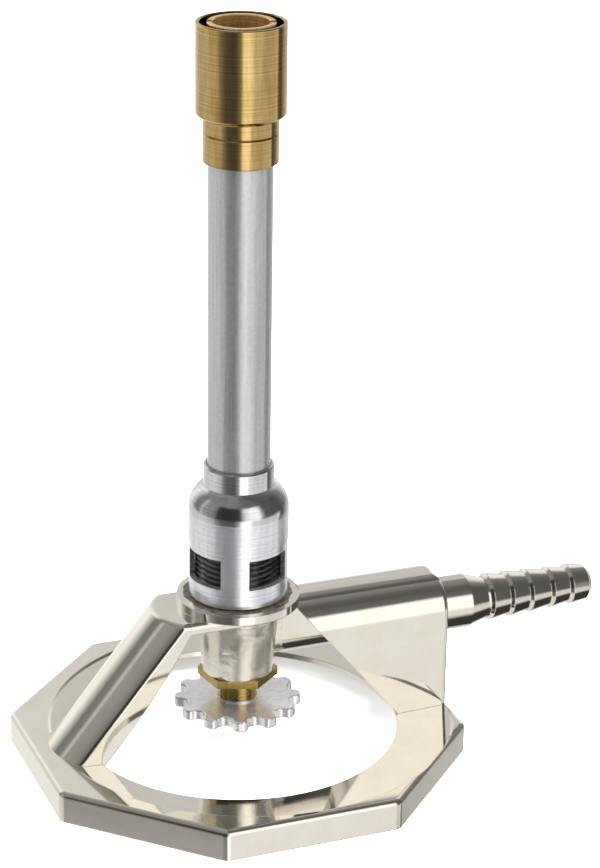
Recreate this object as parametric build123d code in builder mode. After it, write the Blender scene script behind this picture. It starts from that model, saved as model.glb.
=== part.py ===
from build123d import *
import os
from math import cos, radians, sin, tan

# Laboratory gas burner. The origin is on the burner's upright axis, at bench level.
# +X points along the arm to the hose barb, +Z points up, and the front of the base is -Y.
# All sizes are in millimetres.

# Octagonal base ring, an inverted tray: a thin top plate with a skirt all round.
ring_flats = 87.2
ring_height = 6.35
ring_corner_radius = 2.0
ring_rim_radius = 1.1
skirt_thickness = 2.0
plate_underside = 4.3
opening_radius = 33.0
lip_top = 5.6
dish_radius = 41.9
dish_step_radius = 41.4
dish_step_top = 5.95
dish_shift = 3.0

# Bridge over the ring: a sloping leg on -X and an upright arm on +X.
bridge_half_width = 8.5
bridge_top = 33.0
arm_round = 6.5
bridge_bottom = 4.5
leg_slope = 50.8
leg_foot_x = -40.1
leg_side_drop = 3.2
leg_edge_round = 1.0
leg_top = 33.3
leg_shoulder_round = 1.2
leg_inner_foot_x = -31.9
leg_inner_middle = (-21.9, 17.0)
leg_inner_top = (-12.9, 31.2)
arm_slope = 50.6
arm_inner_top_x = 10.0
arm_end_x = 43.6
arm_end_round = 1.1

# Gas passage inside the web between the hub and the arm.
duct_axis_z = 25.1
duct_radius = 4.6
gas_bore_radius = 2.2

# Hub in the middle of the bridge.
flange_radius = 12.5
flange_top = 35.1
flange_underside = 33.3
neck_top_radius = 8.4
neck_top = 31.8
neck_bottom_radius = 7.3
neck_bottom = 18.2
gland_bore_radius = 5.6
gland_bore_top = 22.0
chamber_radius = 4.6
spud_bore_radius = 5.8
spud_bore_bottom = 29.2

# Hose barb: a nipple pressed into the end of the arm.
barb_root_radius = 5.65
barb_root_end_x = 50.5
barb_neck_x = 54.6
barb_neck_radius = 4.5
barb_ridge_x = (55.8, 60.4, 65.0, 70.1, 74.6)
barb_ridge_radius = (5.05, 4.95, 4.75, 4.5, 4.35)
barb_ridge_back = 0.7
barb_ridge_depth = 0.55
barb_tip_x = 79.4
barb_tip_radius = 3.9
barb_tip_round = 1.1
barb_spigot_radius = 3.4
barb_spigot_length = 7.0

# Threaded spud that the air collar screws on, and its gasket.
gasket_thickness = 0.5
gasket_outer_radius = 8.2
thread_major_radius = 8.73
thread_pitch = 1.155
thread_depth = 0.7
thread_crest = 0.16
spud_top = 45.8
spud_bore = 3.4

# Gas jet in the top of the spud.
jet_bottom = 39.0
jet_hex_flats = 8.0
jet_hex_height = 1.6
jet_nose_radius = 2.2
jet_nose_top = 48.4
jet_bore_radius = 1.5
jet_seat_bottom = 45.6
jet_seat_top = 46.6
jet_orifice_radius = 0.45

# Needle valve under the hub.
nut_flats = 14.2
nut_bottom = 16.5
nut_vertex_angle = -20.0
stem_radius = 3.97
running_clearance = 0.05
stem_bottom = 9.75
stem_shoulder = 21.2
needle_body_radius = 2.6
needle_body_top = 36.0
needle_radius = 0.95
needle_cone_bottom = 44.6
needle_tip = 46.2
needle_tip_radius = 0.2
stem_end_chamfer = 0.3
washer_thickness = 0.5
packing_height = 1.9

# Scalloped knob on the lower end of the stem.
knob_radius = 13.0
knob_bottom = 9.65
knob_top = 11.87
knob_lobes = 12
knob_first_valley = -92.0
scallop_radius = 1.65
scallop_center_radius = 12.4
knob_edge_round = 0.35
knob_lobe_round = 1.2
knob_hub_radius = 4.6
knob_hub_height = 0.3

# Air collar, with the mixing tube pressed into its top.
collar_bottom = 35.4
collar_low_radius = 10.0
collar_radius = 10.17
collar_step = 47.7
collar_shoulder = 53.6
collar_dome_bulge = 0.95
collar_ring_bottom = 59.25
collar_ring_radius = 7.15
collar_top = 63.4
collar_bore_radius = 8.8
collar_bore_top = 49.2
collar_stop_top = 50.2
collar_edge_chamfer = 0.25
window_width = 9.54
window_bottom = 39.65
window_top = 46.0
window_angle = -69.0

tube_radius = 6.35
tube_wall = 0.9
tube_top = 137.0

# Brass flame stabiliser on top of the tube.
sleeve_low_radius = 7.35
sleeve_radius = 8.75
sleeve_bottom = 125.6
sleeve_step = 134.7
sleeve_step_chamfer = 0.5
sleeve_groove_z = 131.4
sleeve_groove_width = 0.5
sleeve_groove_depth = 0.18
burner_top = 152.7
sleeve_wall = 0.77
sleeve_floor = 139.6
sleeve_edge_chamfer = 0.15
flame_ring_outer_radius = 6.6
flame_ring_bore_radius = 5.5
notch_angle = -20.0
notch_width = 1.4
notch_depth = 1.5
port_radius = 0.9
port_count = 6
port_z = 141.6

arm_ratio = 1 / tan(radians(arm_slope))
leg_ratio = 1 / tan(radians(leg_slope))


def tube_between(radius, bore, bottom, top):
    """A plain upright tube on the burner's axis, as a half section to revolve."""
    return [(bore, bottom), (radius, bottom), (radius, top), (bore, top)]


os.makedirs("parts", exist_ok=True)


# Base casting.
# The leg is cut from its side view, then given its crowned section along the slope.
leg_top_x = leg_foot_x + (leg_top - ring_height) * leg_ratio
leg_bottom_x = leg_foot_x - (ring_height - bridge_bottom) * leg_ratio
leg_direction = Vector(cos(radians(leg_slope)), 0, sin(radians(leg_slope)))
leg_plane = Plane(origin=(leg_foot_x, 0, ring_height), x_dir=(0, 1, 0), z_dir=leg_direction)
with BuildPart() as leg:
    with BuildSketch(Plane.XZ):
        with BuildLine():
            leg_floor = Line((leg_bottom_x, bridge_bottom), (leg_inner_foot_x, bridge_bottom))
            leg_arc = ThreePointArc(leg_floor @ 1, leg_inner_middle, leg_inner_top)
            Polyline(
                leg_arc @ 1,
                (0, leg_inner_top[1]),
                (0, leg_top),
                (leg_top_x, leg_top),
                leg_floor @ 0,
            )
        make_face()
    extrude(amount=bridge_half_width, both=True)
    with BuildSketch(leg_plane) as leg_section:
        with BuildLine():
            crown = ThreePointArc(
                (-bridge_half_width, -leg_side_drop), (0, 0), (bridge_half_width, -leg_side_drop)
            )
            Polyline(
                crown @ 1,
                (bridge_half_width, -ring_flats),
                (-bridge_half_width, -ring_flats),
                crown @ 0,
            )
        make_face()
        fillet(leg_section.vertices().group_by(Axis.Y)[-1], leg_edge_round)
    extrude(amount=ring_flats, both=True, mode=Mode.INTERSECT)
    plateau = leg.faces().filter_by(Axis.Z).sort_by(Axis.Z)[-1]
    fillet(plateau.edges().filter_by(GeomType.LINE, reverse=True), leg_shoulder_round)

# The arm has a rounded top, and beside the web it is cut away between the hub and the arm.
arm_bottom_x = arm_inner_top_x + (bridge_top - bridge_bottom) * arm_ratio
arm_inner_duct_x = arm_inner_top_x + (bridge_top - duct_axis_z) * arm_ratio
with BuildPart() as arm:
    with BuildSketch(Plane.XZ):
        with BuildLine():
            Polyline(
                (arm_bottom_x, bridge_bottom),
                (arm_end_x, bridge_bottom),
                (arm_end_x, bridge_top),
                (0, bridge_top),
                (0, duct_axis_z),
                (arm_inner_duct_x, duct_axis_z),
                close=True,
            )
        make_face()
    extrude(amount=bridge_half_width, both=True)
    fillet(arm.edges().filter_by(Axis.X).group_by(Axis.Z)[-1], arm_round)
    arm_end = arm.faces().filter_by(Axis.X).sort_by(Axis.X)[-1]
    fillet(arm_end.edges().filter_by(lambda edge: edge.center().Z > bridge_bottom + 1), arm_end_round)
    for side in (-1, 1):
        with BuildSketch(Plane.XZ.offset(side * duct_radius)):
            with BuildLine():
                Polyline(
                    (0, duct_axis_z),
                    (0, bridge_top + 1),
                    (arm_inner_top_x - arm_ratio, bridge_top + 1),
                    (arm_inner_duct_x, duct_axis_z),
                    close=True,
                )
            make_face()
        extrude(amount=side * bridge_half_width, mode=Mode.SUBTRACT)

with BuildPart() as base_casting:
    with BuildSketch():
        RegularPolygon(ring_flats / 2, 8, major_radius=False, rotation=22.5)
    extrude(amount=ring_height)
    fillet(base_casting.edges().filter_by(Axis.Z), ring_corner_radius)
    fillet(base_casting.faces().sort_by(Axis.Z)[-1].edges(), ring_rim_radius)
    with BuildSketch(Plane.XY.offset(ring_height)):
        with Locations((dish_shift, 0)):
            Circle(dish_radius)
    with BuildSketch(Plane.XY.offset(dish_step_top)):
        with Locations((dish_shift, 0)):
            Circle(dish_step_radius)
    loft(mode=Mode.SUBTRACT)
    with BuildSketch(Plane.XY.offset(dish_step_top)):
        with Locations((dish_shift, 0)):
            Circle(dish_step_radius)
    with BuildSketch(Plane.XY.offset(lip_top)):
        Circle(opening_radius)
    loft(mode=Mode.SUBTRACT)
    with BuildSketch():
        Circle(opening_radius)
    extrude(amount=ring_height, mode=Mode.SUBTRACT)
    with BuildSketch():
        RegularPolygon(ring_flats / 2 - skirt_thickness, 8, major_radius=False, rotation=22.5)
    extrude(amount=plate_underside, mode=Mode.SUBTRACT)
    add(leg.part)
    add(arm.part)
    # The web's round underside, around the gas passage.
    with BuildSketch(Plane.YZ):
        with Locations((0, duct_axis_z)):
            Circle(duct_radius)
    extrude(amount=arm_inner_duct_x + 2 * duct_radius)
    with BuildSketch(Plane.XZ):
        with BuildLine():
            Polyline(
                (0, flange_top),
                (flange_radius, flange_top),
                (flange_radius, flange_underside),
                (neck_top_radius, neck_top),
                (neck_bottom_radius, neck_bottom),
                (0, neck_bottom),
                close=True,
            )
        make_face()
    revolve(axis=Axis.Z)
    # Upright bores, from the gland below to the spud above.
    with BuildSketch(Plane.XY.offset(neck_bottom)):
        Circle(gland_bore_radius)
    extrude(amount=gland_bore_top - neck_bottom, mode=Mode.SUBTRACT)
    with BuildSketch(Plane.XY.offset(gland_bore_top)):
        Circle(chamber_radius)
    extrude(amount=spud_bore_bottom - gland_bore_top, mode=Mode.SUBTRACT)
    with BuildSketch(Plane.XY.offset(spud_bore_bottom)):
        Circle(spud_bore_radius)
    extrude(amount=flange_top - spud_bore_bottom, mode=Mode.SUBTRACT)
    # Gas bore along the arm, wider where the barb is pressed in.
    with BuildSketch(Plane.YZ):
        with Locations((0, duct_axis_z)):
            Circle(gas_bore_radius)
    extrude(amount=arm_end_x, mode=Mode.SUBTRACT)
    with BuildSketch(Plane.YZ.offset(arm_end_x - barb_spigot_length)):
        with Locations((0, duct_axis_z)):
            Circle(barb_spigot_radius)
    extrude(amount=barb_spigot_length, mode=Mode.SUBTRACT)


# Hose barb, turned about the gas bore's axis.
barb_profile = [
    (arm_end_x - barb_spigot_length, gas_bore_radius),
    (arm_end_x - barb_spigot_length, barb_spigot_radius),
    (arm_end_x, barb_spigot_radius),
    (arm_end_x, barb_root_radius),
    (barb_root_end_x, barb_root_radius),
    (barb_neck_x, barb_neck_radius),
]
for ridge_x, ridge_radius in zip(barb_ridge_x, barb_ridge_radius):
    barb_profile.append((ridge_x - barb_ridge_back, ridge_radius - barb_ridge_depth))
    barb_profile.append((ridge_x, ridge_radius))
barb_profile.append((barb_tip_x - barb_tip_round, barb_tip_radius))
barb_profile.append((barb_tip_x, barb_tip_radius - barb_tip_round))
barb_profile.append((barb_tip_x, gas_bore_radius))
duct_axis = Axis((0, 0, duct_axis_z), (1, 0, 0))
with BuildPart() as hose_barb:
    with BuildSketch(Plane(origin=duct_axis.position, x_dir=(1, 0, 0), z_dir=(0, -1, 0))):
        with BuildLine():
            Polyline(*barb_profile, close=True)
        make_face()
    revolve(axis=duct_axis)


# Gasket and threaded spud.
gasket_top = flange_top + gasket_thickness
with BuildPart() as spud_gasket:
    with BuildSketch(Plane.XZ):
        Polygon(*tube_between(gasket_outer_radius, spud_bore_radius, flange_top, gasket_top), align=None)
    revolve(axis=Axis.Z)

thread_root_radius = thread_major_radius - thread_depth
thread_turns = int((spud_top - gasket_top - thread_depth) / thread_pitch)
spud_profile = [
    (spud_bore, spud_bore_bottom),
    (spud_bore_radius, spud_bore_bottom),
    (spud_bore_radius, gasket_top),
    (thread_root_radius, gasket_top),
]
for turn in range(thread_turns):
    turn_bottom = gasket_top + thread_depth / 2 + turn * thread_pitch
    turn_middle = turn_bottom + thread_pitch / 2
    spud_profile.append((thread_root_radius, turn_bottom))
    spud_profile.append((thread_major_radius, turn_middle - thread_crest / 2))
    spud_profile.append((thread_major_radius, turn_middle + thread_crest / 2))
spud_profile.append((thread_root_radius, turn_bottom + thread_pitch))
spud_profile.append((thread_root_radius, spud_top))
spud_profile.append((spud_bore, spud_top))
with BuildPart() as threaded_spud:
    with BuildSketch(Plane.XZ):
        with BuildLine():
            Polyline(*spud_profile, close=True)
        make_face()
    revolve(axis=Axis.Z)


# Gas jet.
jet_hex_top = spud_top + jet_hex_height
with BuildPart() as gas_jet:
    with BuildSketch(Plane.XY.offset(jet_bottom)):
        Circle(spud_bore)
    extrude(amount=spud_top - jet_bottom)
    with BuildSketch(Plane.XY.offset(spud_top)):
        RegularPolygon(jet_hex_flats / 2, 6, major_radius=False)
    extrude(amount=jet_hex_height)
    with BuildSketch(Plane.XY.offset(jet_hex_top)):
        Circle(jet_nose_radius)
    extrude(amount=jet_nose_top - jet_hex_top)
    chamfer(gas_jet.edges().group_by(Axis.Z)[-1], stem_end_chamfer)
    with BuildSketch(Plane.XZ):
        with BuildLine():
            Polyline(
                (0, jet_bottom),
                (jet_bore_radius, jet_bottom),
                (jet_bore_radius, jet_seat_bottom),
                (jet_orifice_radius, jet_seat_top),
                (jet_orifice_radius, jet_nose_top),
                (0, jet_nose_top),
                close=True,
            )
        make_face()
    revolve(axis=Axis.Z, mode=Mode.SUBTRACT)


# Needle valve: hexagonal gland nut, washer, packing and stem.
nut_spigot_top = gland_bore_top - washer_thickness
nut_bore_radius = stem_radius + running_clearance
with BuildPart() as packing_nut:
    with BuildSketch(Plane.XY.offset(nut_bottom)):
        RegularPolygon(nut_flats / 2, 6, major_radius=False, rotation=nut_vertex_angle)
    extrude(amount=neck_bottom - nut_bottom)
    with BuildSketch(Plane.XY.offset(neck_bottom)):
        Circle(gland_bore_radius)
    extrude(amount=nut_spigot_top - neck_bottom)
    with BuildSketch(Plane.XY.offset(nut_bottom)):
        Circle(nut_bore_radius)
    extrude(amount=nut_spigot_top - nut_bottom, mode=Mode.SUBTRACT)

needle_bore_radius = needle_body_radius + running_clearance
with BuildPart() as gland_washer:
    with BuildSketch(Plane.XZ):
        Polygon(
            *tube_between(gland_bore_radius, needle_bore_radius, nut_spigot_top, gland_bore_top),
            align=None,
        )
    revolve(axis=Axis.Z)

with BuildPart() as stem_packing:
    with BuildSketch(Plane.XZ):
        Polygon(
            *tube_between(
                chamber_radius, needle_bore_radius, gland_bore_top, gland_bore_top + packing_height
            ),
            align=None,
        )
    revolve(axis=Axis.Z)

with BuildPart() as needle_stem:
    with BuildSketch(Plane.XZ):
        with BuildLine():
            Polyline(
                (0, stem_bottom),
                (stem_radius, stem_bottom),
                (stem_radius, stem_shoulder - stem_end_chamfer),
                (stem_radius - stem_end_chamfer, stem_shoulder),
                (needle_body_radius, stem_shoulder),
                (needle_body_radius, needle_body_top - needle_body_radius + needle_radius),
                (needle_radius, needle_body_top),
                (needle_radius, needle_cone_bottom),
                (needle_tip_radius, needle_tip),
                (0, needle_tip),
                close=True,
            )
        make_face()
    revolve(axis=Axis.Z)


# Knob.
knob_bore_radius = stem_radius + running_clearance
with BuildPart() as valve_knob:
    with BuildSketch(Plane.XY.offset(knob_bottom)) as knob_outline:
        Circle(knob_radius)
        with PolarLocations(scallop_center_radius, knob_lobes, start_angle=knob_first_valley):
            Circle(scallop_radius, mode=Mode.SUBTRACT)
        fillet(knob_outline.vertices(), knob_lobe_round)
    extrude(amount=knob_top - knob_bottom)
    fillet(valve_knob.faces().filter_by(Axis.Z).edges(), knob_edge_round)
    with BuildSketch(Plane.XY.offset(knob_top)):
        Circle(knob_hub_radius)
    extrude(amount=knob_hub_height)
    with BuildSketch(Plane.XY.offset(knob_bottom)):
        Circle(knob_bore_radius)
    extrude(amount=knob_top + knob_hub_height - knob_bottom, mode=Mode.SUBTRACT)


# Air collar.
dome_middle = (
    (collar_radius + collar_ring_radius) / 2 + collar_dome_bulge * cos(radians(28)),
    (collar_shoulder + collar_ring_bottom) / 2 + collar_dome_bulge * sin(radians(28)),
)
with BuildPart() as air_collar:
    with BuildSketch(Plane.XZ):
        with BuildLine():
            lower = Polyline(
                (collar_ring_radius, collar_ring_bottom),
                (collar_ring_radius, collar_top),
                (tube_radius, collar_top),
                (tube_radius, collar_stop_top),
                (tube_radius - tube_wall, collar_stop_top),
                (tube_radius - tube_wall, collar_bore_top),
                (collar_bore_radius, collar_bore_top),
                (collar_bore_radius, collar_bottom),
                (collar_low_radius, collar_bottom),
                (collar_low_radius, collar_step),
                (collar_radius, collar_step),
                (collar_radius, collar_shoulder),
            )
            ThreePointArc(lower @ 1, dome_middle, lower @ 0)
        make_face()
    revolve(axis=Axis.Z)
    collar_rims = air_collar.edges().filter_by(GeomType.CIRCLE).filter_by(
        lambda edge: min(abs(edge.center().Z - collar_bottom), abs(edge.center().Z - collar_top)) < 0.01
    )
    chamfer(collar_rims, collar_edge_chamfer)
    with BuildSketch(Plane.XY.offset(window_bottom)):
        with Locations(Rotation(0, 0, window_angle)):
            Rectangle(2 * flange_radius, window_width)
        with Locations(Rotation(0, 0, window_angle + 90)):
            Rectangle(2 * flange_radius, window_width)
    extrude(amount=window_top - window_bottom, mode=Mode.SUBTRACT)

with BuildPart() as mixing_tube:
    with BuildSketch(Plane.XZ):
        Polygon(
            *tube_between(tube_radius, tube_radius - tube_wall, collar_stop_top, tube_top),
            align=None,
        )
    revolve(axis=Axis.Z)


# Flame stabiliser: an outer sleeve pressed on the tube, and an inner ring pressed in the sleeve.
sleeve_bore_radius = sleeve_radius - sleeve_wall
groove_low = sleeve_groove_z - sleeve_groove_width / 2
groove_high = sleeve_groove_z + sleeve_groove_width / 2
with BuildPart() as stabiliser_sleeve:
    with BuildSketch(Plane.XZ):
        with BuildLine():
            Polyline(
                (tube_radius, sleeve_bottom),
                (sleeve_low_radius - sleeve_edge_chamfer, sleeve_bottom),
                (sleeve_low_radius, sleeve_bottom + sleeve_edge_chamfer),
                (sleeve_low_radius, groove_low),
                (sleeve_low_radius - sleeve_groove_depth, sleeve_groove_z),
                (sleeve_low_radius, groove_high),
                (sleeve_low_radius, sleeve_step - sleeve_step_chamfer),
                (sleeve_radius - sleeve_step_chamfer, sleeve_step),
                (sleeve_radius, sleeve_step + sleeve_step_chamfer),
                (sleeve_radius, burner_top - sleeve_edge_chamfer),
                (sleeve_radius - sleeve_edge_chamfer, burner_top),
                (sleeve_bore_radius + sleeve_edge_chamfer, burner_top),
                (sleeve_bore_radius, burner_top - sleeve_edge_chamfer),
                (sleeve_bore_radius, sleeve_floor),
                (flame_ring_outer_radius, sleeve_floor),
                (flame_ring_outer_radius, tube_top),
                (tube_radius, tube_top),
                close=True,
            )
        make_face()
    revolve(axis=Axis.Z)

with BuildPart() as flame_ring:
    with BuildSketch(Plane.XZ):
        Polygon(
            *tube_between(flame_ring_outer_radius, flame_ring_bore_radius, tube_top, burner_top),
            align=None,
        )
    revolve(axis=Axis.Z)
    chamfer(flame_ring.edges().group_by(Axis.Z)[-1], sleeve_edge_chamfer)
    with BuildSketch(Plane.XY.offset(burner_top)):
        with Locations(Rotation(0, 0, notch_angle)):
            Rectangle(2 * sleeve_radius, notch_width)
    extrude(amount=-notch_depth, mode=Mode.SUBTRACT)
    for port in range(port_count):
        port_direction = Vector(1, 0, 0).rotate(Axis.Z, port * 360 / port_count)
        port_plane = Plane(origin=(0, 0, port_z), z_dir=port_direction)
        with BuildSketch(port_plane):
            Circle(port_radius)
        extrude(amount=sleeve_radius, mode=Mode.SUBTRACT)

for name, piece in {
    "base_casting": base_casting,
    "hose_barb": hose_barb,
    "spud_gasket": spud_gasket,
    "threaded_spud": threaded_spud,
    "gas_jet": gas_jet,
    "packing_nut": packing_nut,
    "gland_washer": gland_washer,
    "stem_packing": stem_packing,
    "needle_stem": needle_stem,
    "valve_knob": valve_knob,
    "air_collar": air_collar,
    "mixing_tube": mixing_tube,
    "stabiliser_sleeve": stabiliser_sleeve,
    "flame_ring": flame_ring,
}.items():
    piece.part.label = name
    export_step(piece.part, f"parts/{name}.step")
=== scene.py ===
import bpy
import math
from mathutils import Matrix, Vector


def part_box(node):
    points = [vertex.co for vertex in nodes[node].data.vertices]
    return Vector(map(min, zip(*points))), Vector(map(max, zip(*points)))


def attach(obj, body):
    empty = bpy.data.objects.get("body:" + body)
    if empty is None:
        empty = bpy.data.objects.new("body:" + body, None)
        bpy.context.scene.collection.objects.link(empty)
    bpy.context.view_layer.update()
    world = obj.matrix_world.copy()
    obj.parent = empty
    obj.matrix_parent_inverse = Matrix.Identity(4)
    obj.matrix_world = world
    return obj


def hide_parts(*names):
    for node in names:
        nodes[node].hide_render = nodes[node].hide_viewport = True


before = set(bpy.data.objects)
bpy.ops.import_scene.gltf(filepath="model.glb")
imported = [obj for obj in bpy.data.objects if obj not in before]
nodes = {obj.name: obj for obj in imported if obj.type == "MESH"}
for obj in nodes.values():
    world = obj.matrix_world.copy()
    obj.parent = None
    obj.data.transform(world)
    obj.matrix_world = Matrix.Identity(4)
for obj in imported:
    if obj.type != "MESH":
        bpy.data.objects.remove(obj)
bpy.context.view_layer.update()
MM = 0.001

# Camera: the photograph's viewpoint, looking down at the burner from its front left.
CAMERA_PLACE = (-0.1743, -0.4719, 0.2716)
CAMERA_HEADING = 68.35
CAMERA_TILT = 21.876
CAMERA_ROLL = 0.865
CAMERA_LENS = 164.0
SENSOR_WIDTH = 36.0

# The spud and its thread, in metres. The air collar has the matching thread inside.
THREAD_PITCH = 1.155 * MM
THREAD_DEPTH = 0.66 * MM
THREAD_START = 35.6 * MM
THREAD_RELIEF = 0.01 * MM
THREAD_LEAD_IN = 0.4 * MM
THREAD_LEAD_OUT = 0.5 * MM
SPUD_BORE = 3.4 * MM
SPUD_SHANK = 5.8 * MM

# The air collar: its bore, its four windows, and where the domed shoulder begins.
COLLAR_BORE = 8.8 * MM
COLLAR_SHOULDER = 53.7 * MM
WINDOW_ANGLE = -69.0
WINDOW_HALF_WIDTH = 4.77 * MM
RIDGE_FOOT = COLLAR_BORE + 0.1 * MM
RIDGE_CREST = COLLAR_BORE - 0.55 * MM
RIDGE_FOOT_SHIFT = 0.46
RIDGE_CREST_SHIFT = 0.06
RIDGE_OVERRUN = 1.03

# The casting: the arm's flat top is a little crowned, and the neck is left rough.
ARM_TOP = 33.0 * MM
ARM_START = 12 * MM
ARM_CROWN_HALF_WIDTH = 4 * MM
ARM_CROWN_RADIUS = 8.0 * MM
NECK_RADIUS = 9.2 * MM
NECK_TOP = 33.6 * MM

# The black ring on the flange: a painted reflection of the dark that the flange top mirrors round the
# collar's foot.
DARK_RING_INNER = 8.5 * MM
DARK_RING_OUTER = 11.1 * MM
DARK_RING_BASE = 35.1 * MM

# Above every turned piece, so satin from here down is satin all over.
ALL_OVER = 1.0


def make_camera():
    """A camera aimed by heading (from +X towards +Y), downward tilt and roll, all in degrees."""
    heading, tilt, roll = (math.radians(a) for a in (CAMERA_HEADING, CAMERA_TILT, CAMERA_ROLL))
    forward = Vector(
        (math.cos(heading) * math.cos(tilt), math.sin(heading) * math.cos(tilt), -math.sin(tilt))
    )
    level_right = Vector((math.sin(heading), -math.cos(heading), 0.0))
    level_up = level_right.cross(forward)
    right = level_right * math.cos(roll) + level_up * math.sin(roll)
    up = level_up * math.cos(roll) - level_right * math.sin(roll)
    data = bpy.data.cameras.new("camera")
    data.lens = CAMERA_LENS
    data.sensor_width = SENSOR_WIDTH
    data.sensor_fit = "HORIZONTAL"
    data.clip_start = 0.01
    camera = bpy.data.objects.new("camera", data)
    turn = Matrix((right, up, -forward)).transposed()
    camera.matrix_world = Matrix.Translation(CAMERA_PLACE) @ turn.to_4x4()
    bpy.context.scene.collection.objects.link(camera)
    bpy.context.scene.camera = camera


# ---------------------------------------------------------------- node helpers


class Graph:
    """A short way to add and join shader nodes in one node tree."""

    def __init__(self, tree):
        self.tree = tree

    def add(self, kind, inputs=None, **settings):
        node = self.tree.nodes.new(kind)
        for key, value in settings.items():
            setattr(node, key, value)
        for key, value in (inputs or {}).items():
            socket = node.inputs[key]
            if isinstance(value, bpy.types.NodeSocket):
                self.tree.links.new(value, socket)
            else:
                socket.default_value = value
        return node

    def math(self, operation, first, second=0.0, third=0.0):
        node = self.add("ShaderNodeMath", {0: first, 1: second, 2: third}, operation=operation)
        return node.outputs[0]

    def ramp(self, factor, stops, interpolation="LINEAR"):
        """A colour ramp; stops are (position, grey or colour)."""
        node = self.add("ShaderNodeValToRGB", {"Fac": factor})
        ramp = node.color_ramp
        ramp.interpolation = interpolation
        while len(ramp.elements) < len(stops):
            ramp.elements.new(1.0)
        for element, (position, colour) in zip(ramp.elements, stops):
            element.position = position
            rgb = colour if isinstance(colour, tuple) else (colour, colour, colour)
            element.color = (*rgb, 1.0)
        return node.outputs["Color"]

    def mix(self, factor, first, second):
        # On the colour mix node these sockets are the factor and the two colours.
        node = self.add("ShaderNodeMix", {0: factor, 6: first, 7: second}, data_type="RGBA")
        return node.outputs[2]

    def noise(self, vector, scale, detail=2.0, rough=0.5, **settings):
        inputs = {"Vector": vector, "Scale": scale, "Detail": detail, "Roughness": rough}
        return self.add("ShaderNodeTexNoise", inputs, **settings).outputs["Fac"]


# ------------------------------------------------------------------- the studio

# What the metal reflects, round the horizon: (azimuth from +X in degrees, brightness).
FLOOR_RING = (
    (-180, 0.85), (-128, 0.80), (-116, 0.30), (-106, 0.30), (-98, 0.95), (-64, 0.90), (-57, 0.05),
    (24, 0.04), (36, 0.55), (70, 0.90), (180, 0.85),
)
LOW_RING = (
    (-180, 0.74), (-170, 0.62), (-163, 0.32), (-150, 0.15), (-122, 0.11), (-110, 0.40), (-104, 1.60),
    (-86, 1.70), (-76, 1.00), (-62, 0.92), (-50, 0.78), (-20, 0.80), (-9, 1.00), (-4, 0.14), (8, 0.13),
    (18, 0.42), (30, 0.66), (52, 0.85), (68, 1.15), (90, 1.15), (104, 0.98), (116, 0.84), (130, 0.78),
    (150, 0.85), (180, 0.74),
)
MIDDLE_RING = (
    (-180, 0.34), (-168, 0.28), (-158, 0.05), (-135, 0.04), (-108, 0.05), (-96, 0.90), (-80, 1.40),
    (-62, 1.30), (-56, 0.60), (-48, 0.12), (0, 0.10), (26, 0.30), (42, 0.90), (57, 1.10), (62, 0.64),
    (70, 0.66), (74, 0.80), (88, 0.84), (100, 1.05), (112, 1.10), (120, 0.86), (130, 0.46), (137, 0.22),
    (150, 0.25), (158, 0.64), (164, 0.36), (180, 0.34),
)
HIGH_RING = (
    (-180, 0.28), (-130, 0.26), (-90, 0.18), (-60, 0.17), (-35, 0.11), (0, 0.14), (40, 0.26), (62, 0.30),
    (100, 0.42), (140, 0.30), (180, 0.26),
)
WARM = (1.0, 0.985, 0.955)
# The heights, in degrees above level, over which each ring gives way to the next.
RING_EDGES = ((-36, -29), (-13, -4), (37, 45))


def ramp_place(angle, lowest, span):
    """The place of an angle on a ramp that starts at lowest and covers span, all in degrees."""
    return (angle - lowest) / span


def make_studio():
    """The room the metal reflects: light cards with dark gaps, and plain white for the camera."""
    world = bpy.data.worlds.new("studio")
    bpy.context.scene.world = world
    world.use_nodes = True
    graph = Graph(world.node_tree)
    direction = graph.add("ShaderNodeTexCoord").outputs["Generated"]
    parts = graph.add("ShaderNodeSeparateXYZ", {0: direction})
    azimuth = graph.math("ARCTAN2", parts.outputs["Y"], parts.outputs["X"])
    turn = graph.math("MULTIPLY_ADD", azimuth, 0.5 / math.pi, 0.5)
    rings = [
        graph.ramp(
            turn,
            [(ramp_place(angle, -180, 360), tuple(level * c for c in WARM)) for angle, level in ring],
        )
        for ring in (FLOOR_RING, LOW_RING, MIDDLE_RING, HIGH_RING)
    ]
    height = graph.math("ARCSINE", parts.outputs["Z"])
    rise = graph.math("MULTIPLY_ADD", height, 1 / math.pi, 0.5)
    seen = rings[0]
    for ring, (start, end) in zip(rings[1:], RING_EDGES):
        share = graph.ramp(rise, [(ramp_place(start, -90, 180), 0.0), (ramp_place(end, -90, 180), 1.0)])
        seen = graph.mix(share, seen, ring)
    to_camera = graph.add("ShaderNodeLightPath").outputs["Is Camera Ray"]
    colour = graph.mix(to_camera, seen, (1.0, 1.0, 1.0, 1.0))
    background = world.node_tree.nodes["Background"]
    world.node_tree.links.new(colour, background.inputs["Color"])


def make_light(name, place, aim, width, power):
    """A large soft light that brightens the floor and stays out of the reflections."""
    data = bpy.data.lights.new(name, "AREA")
    data.shape = "SQUARE"
    data.size = width
    data.energy = power
    light = bpy.data.objects.new(name, data)
    light.location = place
    light.rotation_euler = (Vector(aim) - Vector(place)).to_track_quat("-Z", "Y").to_euler()
    light.visible_glossy = False
    bpy.context.scene.collection.objects.link(light)


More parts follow.
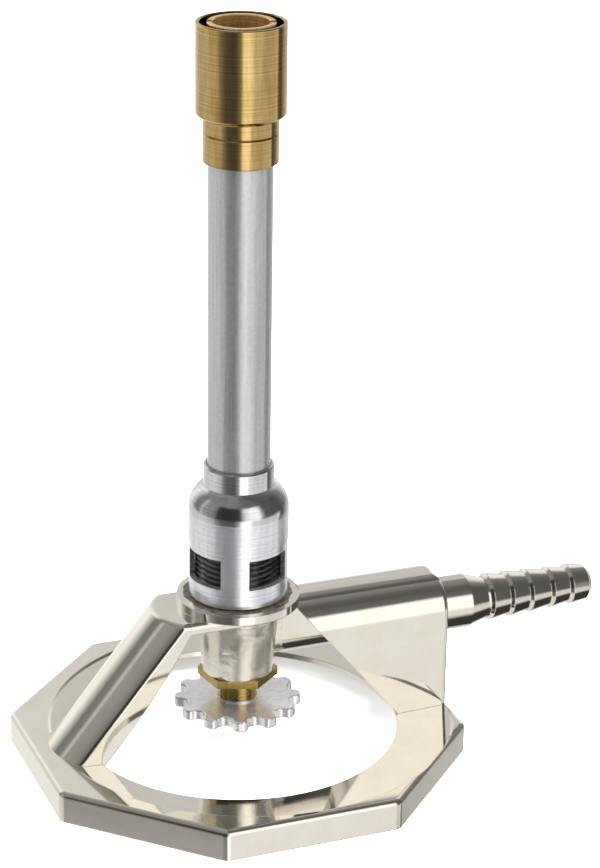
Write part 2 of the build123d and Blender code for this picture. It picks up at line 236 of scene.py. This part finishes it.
def make_floor():
    """A plain white floor, lit a little from below like a light table, that the metal doesn't mirror."""
    half = 1.3
    mesh = bpy.data.meshes.new("floor")
    corners = [(-half, -half, 0), (half, -half, 0), (half, half, 0), (-half, half, 0)]
    mesh.from_pydata(corners, [], [(0, 1, 2, 3)])
    floor = bpy.data.objects.new("floor", mesh)
    bpy.context.scene.collection.objects.link(floor)
    material = bpy.data.materials.new("floor_white")
    material.use_nodes = True
    shader = material.node_tree.nodes["Principled BSDF"]
    shader.inputs["Base Color"].default_value = (0.93, 0.93, 0.93, 1.0)
    shader.inputs["Roughness"].default_value = 0.9
    shader.inputs["Specular IOR Level"].default_value = 0.0
    shader.inputs["Emission Color"].default_value = (1.0, 1.0, 1.0, 1.0)
    shader.inputs["Emission Strength"].default_value = 0.35
    mesh.materials.append(material)
    floor.visible_glossy = False


# -------------------------------------------------------------------- materials


def new_material(name, colour, metallic, rough):
    material = bpy.data.materials.new(name)
    material.use_nodes = True
    shader = material.node_tree.nodes["Principled BSDF"]
    shader.inputs["Base Color"].default_value = (*colour, 1.0)
    shader.inputs["Metallic"].default_value = metallic
    shader.inputs["Roughness"].default_value = rough
    graph = Graph(material.node_tree)
    place = graph.add("ShaderNodeTexCoord").outputs["Object"]
    return material, shader, graph, place


def join(graph, value, shader, socket):
    graph.tree.links.new(value, shader.inputs[socket])


def grey_range(graph, factor, low, high):
    """Maps a 0-1 value to low-high."""
    return graph.math("MULTIPLY_ADD", factor, high - low, low)


def bump(graph, height, distance, normal=None):
    inputs = {"Height": height, "Distance": distance, "Strength": 1.0}
    if normal is not None:
        inputs["Normal"] = normal
    return graph.add("ShaderNodeBump", inputs).outputs["Normal"]


def stretched(graph, place, scale):
    """The object's coordinates, scaled by a different amount along each axis."""
    return graph.add("ShaderNodeMapping", {"Vector": place, "Scale": scale}).outputs["Vector"]


def nickel_plate():
    """Bright nickel on a zinc casting: a warm, wavy mirror with soft edges, rough on the neck."""
    material, shader, graph, place = new_material("nickel_plate", (0.80, 0.755, 0.67), 1.0, 0.06)
    parts = graph.add("ShaderNodeSeparateXYZ", {0: place})
    x, y, z = (parts.outputs[axis] for axis in "XYZ")
    radius = graph.math("SQRT", graph.math("ADD", graph.math("POWER", x, 2.0), graph.math("POWER", y, 2.0)))
    inside = graph.math("LESS_THAN", radius, NECK_RADIUS)
    below = graph.math("LESS_THAN", z, NECK_TOP)
    neck = graph.math("MULTIPLY", inside, below)
    crown = graph.math("SUBTRACT", ARM_CROWN_HALF_WIDTH ** 2, graph.math("POWER", y, 2.0))
    crown = graph.math("MAXIMUM", crown)
    past_hub = graph.math("GREATER_THAN", x, ARM_START)
    on_top = graph.math("GREATER_THAN", z, ARM_TOP - 0.6 * MM)
    on_arm = graph.math("MULTIPLY", past_hub, on_top)
    crown = graph.math("MULTIPLY", graph.math("MULTIPLY", crown, 0.5 / ARM_CROWN_RADIUS), on_arm)
    wave = graph.noise(place, 70.0, 1.0)
    peel = graph.noise(place, 900.0, 3.0)
    cast = graph.noise(place, 1100.0, 5.0, 0.7)
    where = graph.ramp(graph.noise(place, 190.0, 2.0), [(0.40, 0.15), (0.60, 1.0)])
    cast_height = graph.math("MULTIPLY", graph.math("MULTIPLY", cast, where), neck)
    rounded = graph.add("ShaderNodeBevel", {"Radius": 0.28 * MM}, samples=4).outputs["Normal"]
    normal = bump(graph, crown, 1.0, rounded)
    normal = bump(graph, wave, 0.05 * MM, normal)
    normal = bump(graph, peel, 0.0012 * MM, normal)
    normal = bump(graph, cast_height, 0.09 * MM, normal)
    join(graph, normal, shader, "Normal")
    smudge = graph.noise(place, 160.0, 4.0, 0.6)
    rough = grey_range(graph, smudge, 0.03, 0.085)
    rough = graph.math("MULTIPLY_ADD", neck, 0.10, rough)
    join(graph, rough, shader, "Roughness")
    join(graph, graph.math("MULTIPLY_ADD", neck, -0.05, 1.0), shader, "Metallic")
    tint = graph.ramp(smudge, [(0.3, (0.79, 0.75, 0.67)), (0.7, (0.83, 0.80, 0.74))])
    join(graph, tint, shader, "Base Color")
    return material


def turned_metal(name, dark, light, rough_low, rough_high, line_depth, satin_below=0.0):
    """Metal turned about the burner's axis: fine rings, a little patchiness, satin below a height."""
    material, shader, graph, place = new_material(name, light, 1.0, rough_high)
    height = graph.add("ShaderNodeSeparateXYZ", {0: place}).outputs["Z"]
    lines = graph.add(
        "ShaderNodeTexNoise", {"W": height, "Scale": 2600.0, "Detail": 3.0}, noise_dimensions="1D"
    ).outputs["Fac"]
    patches = graph.noise(place, 260.0, 3.0, 0.6)
    smear = graph.noise(stretched(graph, place, (1.0, 1.0, 0.12)), 900.0, 3.0, 0.6)
    blend = graph.math("ADD", graph.math("MULTIPLY", lines, 0.45), graph.math("MULTIPLY", smear, 0.55))
    join(graph, graph.ramp(blend, [(0.38, dark), (0.62, light)]), shader, "Base Color")
    satin = graph.math("LESS_THAN", height, satin_below)
    rough = grey_range(graph, patches, rough_low, rough_high)
    join(graph, graph.math("MULTIPLY_ADD", satin, 0.10, rough), shader, "Roughness")
    join(graph, graph.math("MULTIPLY_ADD", satin, -0.06, 1.0), shader, "Metallic")
    normal = bump(graph, lines, line_depth)
    join(graph, bump(graph, smear, line_depth * 0.5, normal), shader, "Normal")
    shader.inputs["Anisotropic"].default_value = 0.5
    tangent = graph.add("ShaderNodeTangent", direction_type="RADIAL", axis="Z")
    join(graph, tangent.outputs["Tangent"], shader, "Tangent")
    return material


def drawn_tube():
    """Drawn aluminium tube as delivered: satin, with lengthwise streaks, a fine grain and faint pits."""
    material, shader, graph, place = new_material("tube_aluminium", (0.72, 0.715, 0.71), 0.94, 0.3)
    streak = graph.noise(stretched(graph, place, (1.0, 1.0, 0.02)), 1500.0, 3.0, 0.6)
    mottle = graph.noise(place, 1300.0, 4.0, 0.7)
    speckle = graph.noise(place, 1500.0, 2.0, 0.5)
    blend = graph.math("ADD", graph.math("MULTIPLY", streak, 0.6), graph.math("MULTIPLY", mottle, 0.4))
    colour = graph.ramp(blend, [(0.38, (0.43, 0.43, 0.45)), (0.62, (0.56, 0.56, 0.58))])
    pits = graph.ramp(speckle, [(0.22, 0.0), (0.30, 1.0)])
    join(graph, graph.mix(pits, (0.40, 0.40, 0.41, 1.0), colour), shader, "Base Color")
    join(graph, grey_range(graph, streak, 0.27, 0.33), shader, "Roughness")
    normal = bump(graph, streak, 0.001 * MM)
    join(graph, bump(graph, mottle, 0.0008 * MM, normal), shader, "Normal")
    return material


def plain_finish(name, dark, light, metallic, rough, scale, depth):
    """A simple mottled finish."""
    material, shader, graph, place = new_material(name, light, metallic, rough)
    mottle = graph.noise(place, scale, 4.0, 0.6)
    join(graph, graph.ramp(mottle, [(0.35, dark), (0.65, light)]), shader, "Base Color")
    join(graph, grey_range(graph, mottle, rough * 0.75, rough * 1.25), shader, "Roughness")
    join(graph, bump(graph, mottle, depth), shader, "Normal")
    return material


# ----------------------------------------------------------------------- pieces


def add_piece(name, points, faces, material, body):
    mesh = bpy.data.meshes.new(name)
    mesh.from_pydata([tuple(p) for p in points], [], faces)
    mesh.validate()
    mesh.materials.append(material)
    piece = bpy.data.objects.new(name, mesh)
    bpy.context.scene.collection.objects.link(piece)
    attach(piece, body)
    return piece


def ridge_depth(turns):
    """Share of the thread's depth at a height counted in turns: a 60 degree form with narrow flats."""
    phase = turns % 1.0
    slope = abs(phase - 0.5) * 2
    return min(max((0.92 - slope) / 0.84, 0.0), 1.0)


def make_spud_thread(material):
    """The threaded spud with a true helical thread, in place of the CAD's separate grooves."""
    low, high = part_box("threaded_spud")
    around, up_steps = 96, 150
    bottom, top = THREAD_START, high.z
    points, faces = [], []
    for row in range(up_steps + 1):
        z = bottom + (top - bottom) * row / up_steps
        fade = min((z - bottom) / THREAD_LEAD_IN, (top - z) / THREAD_LEAD_OUT, 1.0)
        for step in range(around):
            angle = 2 * math.pi * step / around
            share = ridge_depth(z / THREAD_PITCH - step / around)
            radius = high.x - THREAD_RELIEF - THREAD_DEPTH * (1 - share * fade)
            points.append((radius * math.cos(angle), radius * math.sin(angle), z))
    rows = up_steps + 1
    for radius, z in ((SPUD_BORE, top), (SPUD_BORE, low.z), (SPUD_SHANK, low.z), (SPUD_SHANK, bottom)):
        for step in range(around):
            angle = 2 * math.pi * step / around
            points.append((radius * math.cos(angle), radius * math.sin(angle), z))
    rows += 4
    for row in range(rows):
        after = (row + 1) % rows
        for step in range(around):
            next_step = (step + 1) % around
            faces.append((row * around + step, row * around + next_step,
                          after * around + next_step, after * around + step))
    piece = add_piece("spud_thread", points, faces, material, "root")
    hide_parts("threaded_spud")


def make_collar_thread(material):
    """The collar's internal thread, on the four walls between its windows."""
    half_span = math.pi / 4 - math.asin(WINDOW_HALF_WIDTH / COLLAR_BORE)
    steps = 10
    form = ((RIDGE_FOOT, -RIDGE_FOOT_SHIFT), (RIDGE_CREST, -RIDGE_CREST_SHIFT),
            (RIDGE_CREST, RIDGE_CREST_SHIFT), (RIDGE_FOOT, RIDGE_FOOT_SHIFT))
    lowest_turn, highest_turn = 33, 39
    points, faces = [], []
    for wall in range(4):
        middle = math.radians(WINDOW_ANGLE + 45 + 90 * wall)
        for turn in range(lowest_turn, highest_turn + 1):
            first = len(points)
            for step in range(steps + 1):
                angle = middle + half_span * (2 * step / steps - 1) * RIDGE_OVERRUN
                z = THREAD_PITCH * (turn + (angle / (2 * math.pi)) % 1.0)
                for radius, shift in form:
                    height = z + shift * THREAD_PITCH
                    points.append((radius * math.cos(angle), radius * math.sin(angle), height))
            for step in range(steps):
                for side in range(4):
                    a = first + step * 4 + side
                    b = first + step * 4 + (side + 1) % 4
                    faces.append((a, b, b + 4, a + 4))
            faces.append(tuple(first + side for side in (3, 2, 1, 0)))
            faces.append(tuple(first + steps * 4 + side for side in (0, 1, 2, 3)))
    add_piece("collar_thread", points, faces, material, "barrel_turn")


def make_flange_dark_ring(material):
    """A thin black ring on the flange, round the foot of the collar: a painted reflection of the dark that
    the flange top mirrors there.
    """
    around = 120
    # The edge wanders: (size in mm, waves round the ring, phase).
    waves = ((0.22, 5, 0.7), (0.16, 13, 0), (0.08, 31, 2))
    points, faces = [], []
    for step in range(around):
        angle = 2 * math.pi * step / around
        wobble = sum(size * math.sin(count * angle + phase) for size, count, phase in waves)
        edge = DARK_RING_OUTER + wobble * MM
        for radius, rise in ((DARK_RING_INNER, 0), (DARK_RING_INNER, 0.17), (edge - 0.25 * MM, 0.16),
                             (edge, 0.02), (edge, -0.05)):
            z = DARK_RING_BASE + rise * MM
            points.append((radius * math.cos(angle), radius * math.sin(angle), z))
    for step in range(around):
        for side in range(5):
            a, b = step * 5 + side, step * 5 + (side + 1) % 5
            shift = ((step + 1) % around - step) * 5
            faces.append((a, a + shift, b + shift, b))
    add_piece("flange_painted_reflection_ring", points, faces, material, "root")


make_camera()
make_studio()
make_light("soft_top", (0.1, -0.2, 1.6), (0, 0, 0), 2.4, 120.0)
make_light("soft_left", (-1.3, -0.5, 0.7), (0, 0, 0.0), 1.2, 45.0)
make_light("soft_right", (1.3, -0.5, 0.7), (0, 0, 0.0), 1.2, 45.0)
make_floor()

aluminium = turned_metal(
    "turned_aluminium", (0.60, 0.61, 0.65), (0.74, 0.75, 0.80), 0.08, 0.15, 0.002 * MM, COLLAR_SHOULDER
)
brass = turned_metal("brass", (0.44, 0.29, 0.10), (0.58, 0.43, 0.20), 0.07, 0.15, 0.002 * MM)
ring_brass = turned_metal(
    "ring_brass", (0.62, 0.38, 0.14), (0.86, 0.62, 0.30), 0.12, 0.2, 0.002 * MM, ALL_OVER
)
dark_brass = turned_metal("brass_fittings", (0.40, 0.27, 0.07), (0.58, 0.42, 0.15), 0.06, 0.14, 0.002 * MM)
# Near-black metal for the spud and the collar's inner thread: painted shade for the dark inside the
# collar's windows.
spud_metal = plain_finish(
    "spud_metal", (0.14, 0.14, 0.14), (0.24, 0.24, 0.24), 1.0, 0.14, 300.0, 0.001 * MM
)
knob_metal = plain_finish(
    "knob_aluminium", (0.72, 0.72, 0.74), (0.86, 0.86, 0.88), 0.93, 0.26, 700.0, 0.008 * MM
)
fibre = plain_finish("gasket_fibre", (0.04, 0.03, 0.02), (0.10, 0.07, 0.05), 0.0, 0.6, 1200.0, 0.02 * MM)
# Near-black gloss for the ring on the flange: a painted reflection.
painted_reflection_black = plain_finish("painted_reflection_black", (0.012, 0.010, 0.006), (0.05, 0.042, 0.03), 0.0, 0.22, 900.0, 0.05 * MM)
rubber = plain_finish("packing_rubber", (0.02, 0.02, 0.02), (0.05, 0.05, 0.05), 0.0, 0.6, 900.0, 0.01 * MM)
finishes = {
    "base_casting": nickel_plate(),
    "spud_gasket": fibre,
    "threaded_spud": spud_metal,
    "gas_jet": dark_brass,
    "packing_nut": dark_brass,
    "gland_washer": dark_brass,
    "stem_packing": rubber,
    "needle_stem": dark_brass,
    "valve_knob": knob_metal,
    "air_collar": aluminium,
    "mixing_tube": drawn_tube(),
    "stabiliser_sleeve": brass,
    "flame_ring": ring_brass,
}
finishes["hose_barb"] = finishes["base_casting"]
for name, node in nodes.items():
    node.data.materials.clear()
    node.data.materials.append(finishes[name])

make_spud_thread(spud_metal)
make_collar_thread(spud_metal)
make_flange_dark_ring(painted_reflection_black)

bpy.context.scene.view_settings.view_transform = "Standard"
